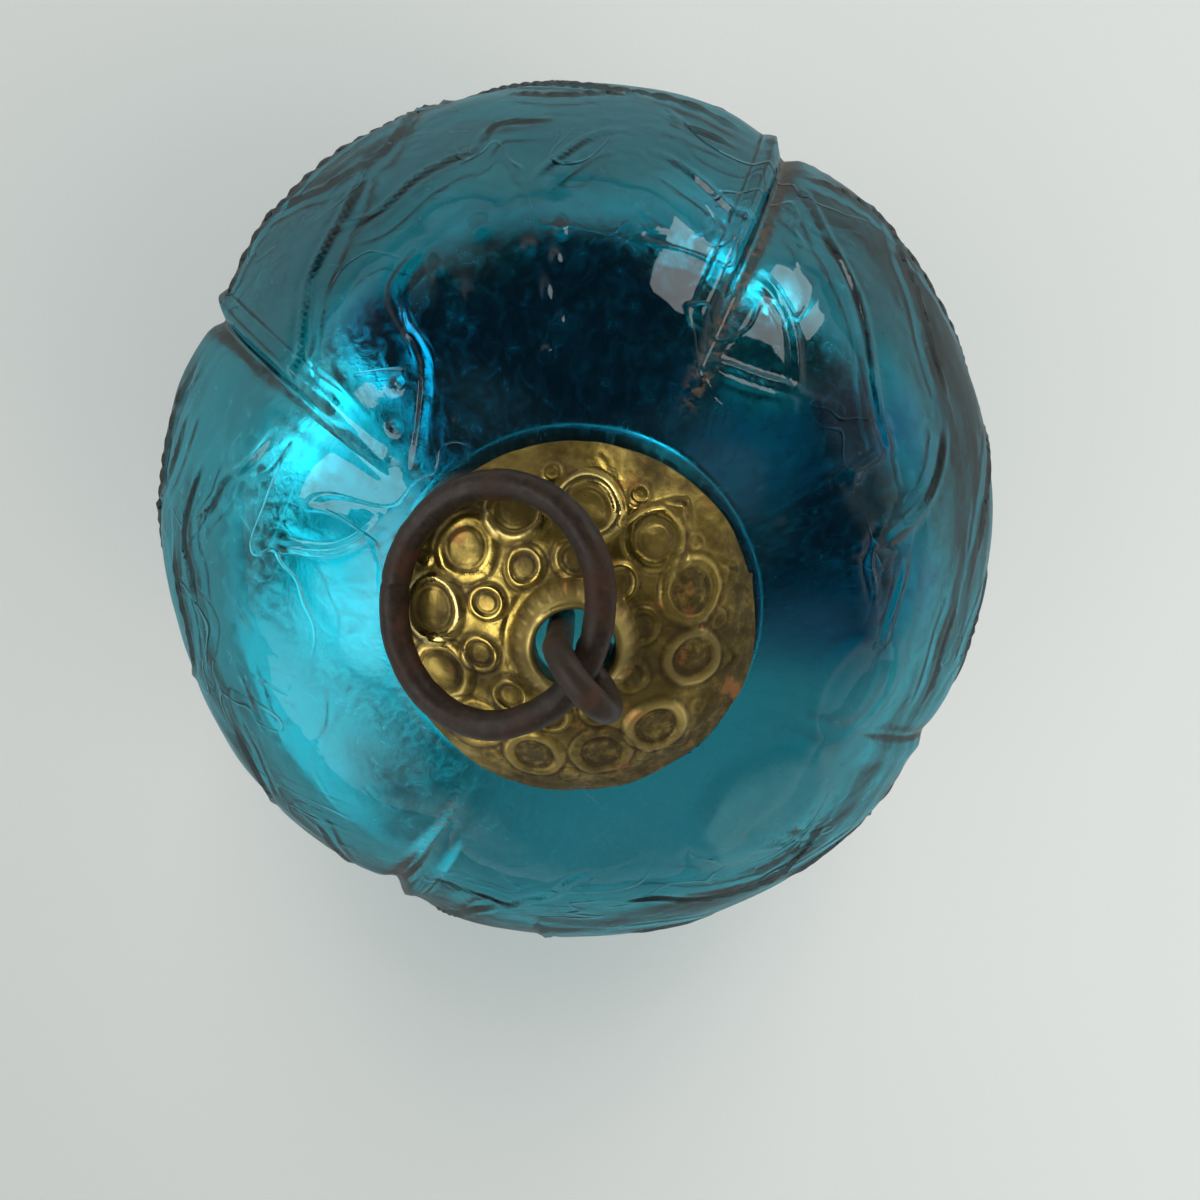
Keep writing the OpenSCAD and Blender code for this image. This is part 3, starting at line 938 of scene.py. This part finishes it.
def world():
    w = bpy.data.worlds.new("world")
    scene.world = w
    w.use_nodes = True
    nt = w.node_tree
    nt.nodes.clear()
    at = add(nt, "ShaderNodeTexCoord").outputs["Generated"]

    def patch(azimuth, elevation, outer, inner, low, high):
        a, e = d2r(azimuth), d2r(elevation)
        d = add(nt, "ShaderNodeVectorMath", operation="DOT_PRODUCT")
        nt.links.new(at, d.inputs[0])
        d.inputs[1].default_value = (math.cos(e) * math.cos(a), math.cos(e) * math.sin(a), math.sin(e))
        return remap(nt, d.outputs["Value"], math.cos(d2r(outer)), math.cos(d2r(inner)), low, high)

    height = put(nt, add(nt, "ShaderNodeSeparateXYZ"), Vector=at).outputs["Z"]
    band = remap(nt, height, math.sin(d2r(22)), math.sin(d2r(-4)), 0.0, 1.0)
    level = math_node(nt, "MULTIPLY", band, patch(300, 8, 45, 15, 0.95, 0.70))
    level = math_node(nt, "MAXIMUM", level, patch(190, 52, 28, 11, 0.0, 3.4))
    level = math_node(nt, "MAXIMUM", level, patch(214, 13, 30, 10, 0.0, 1.5))
    level = math_node(nt, "MAXIMUM", level, patch(290, 26, 60, 22, 0.0, 0.40))
    level = math_node(nt, "MAXIMUM", level, patch(28, 50, 15, 6, 0.0, 0.3))
    level = math_node(nt, "MAXIMUM", level, 0.045)
    sky = put(nt, add(nt, "ShaderNodeBackground"), Color=(0.97, 1.0, 1.0), Strength=level)
    seen = put(nt, add(nt, "ShaderNodeBackground"), Color=(0.80, 0.82, 0.80), Strength=0.78)
    soft = put(nt, add(nt, "ShaderNodeBackground"), Color=(0.96, 1.0, 0.98), Strength=0.20)
    path = add(nt, "ShaderNodeLightPath")
    out = add(nt, "ShaderNodeOutputWorld")
    light = mix_shader(nt, path.outputs["Is Diffuse Ray"], sky.outputs[0], soft.outputs[0])
    nt.links.new(mix_shader(nt, path.outputs["Is Camera Ray"], light, seen.outputs[0]), out.inputs["Surface"])


def window(name, azimuth, elevation, width, height, radiance, distance=0.9, glossy=True):
    lamp = bpy.data.lights.new(name, "AREA")
    lamp.shape = "RECTANGLE"
    lamp.size, lamp.size_y = width, height
    lamp.energy = radiance * math.pi * width * height
    lamp.color = (0.98, 0.99, 1.0)
    o = bpy.data.objects.new(name, lamp)
    scene.collection.objects.link(o)
    a, e = d2r(azimuth), d2r(elevation)
    d = Vector((math.cos(e) * math.cos(a), math.cos(e) * math.sin(a), math.sin(e)))
    o.location = CENTRE + d * distance
    o.rotation_mode = "QUATERNION"
    o.rotation_quaternion = d.to_track_quat("Z", "Y")
    o.visible_diffuse = not glossy
    o.visible_glossy = o.visible_transmission = glossy
    return o


floor()
world()
window("window_left", 158, 29, 0.27, 0.36, 4.6)
window("window_right", 57, 13, 0.30, 0.28, 4.6)
window("soft_back", 84, 41, 0.58, 0.58, 8.6, distance=1.3, glossy=False)
window("soft_side", 335, 44, 0.42, 0.42, 2.3, distance=0.56, glossy=False)
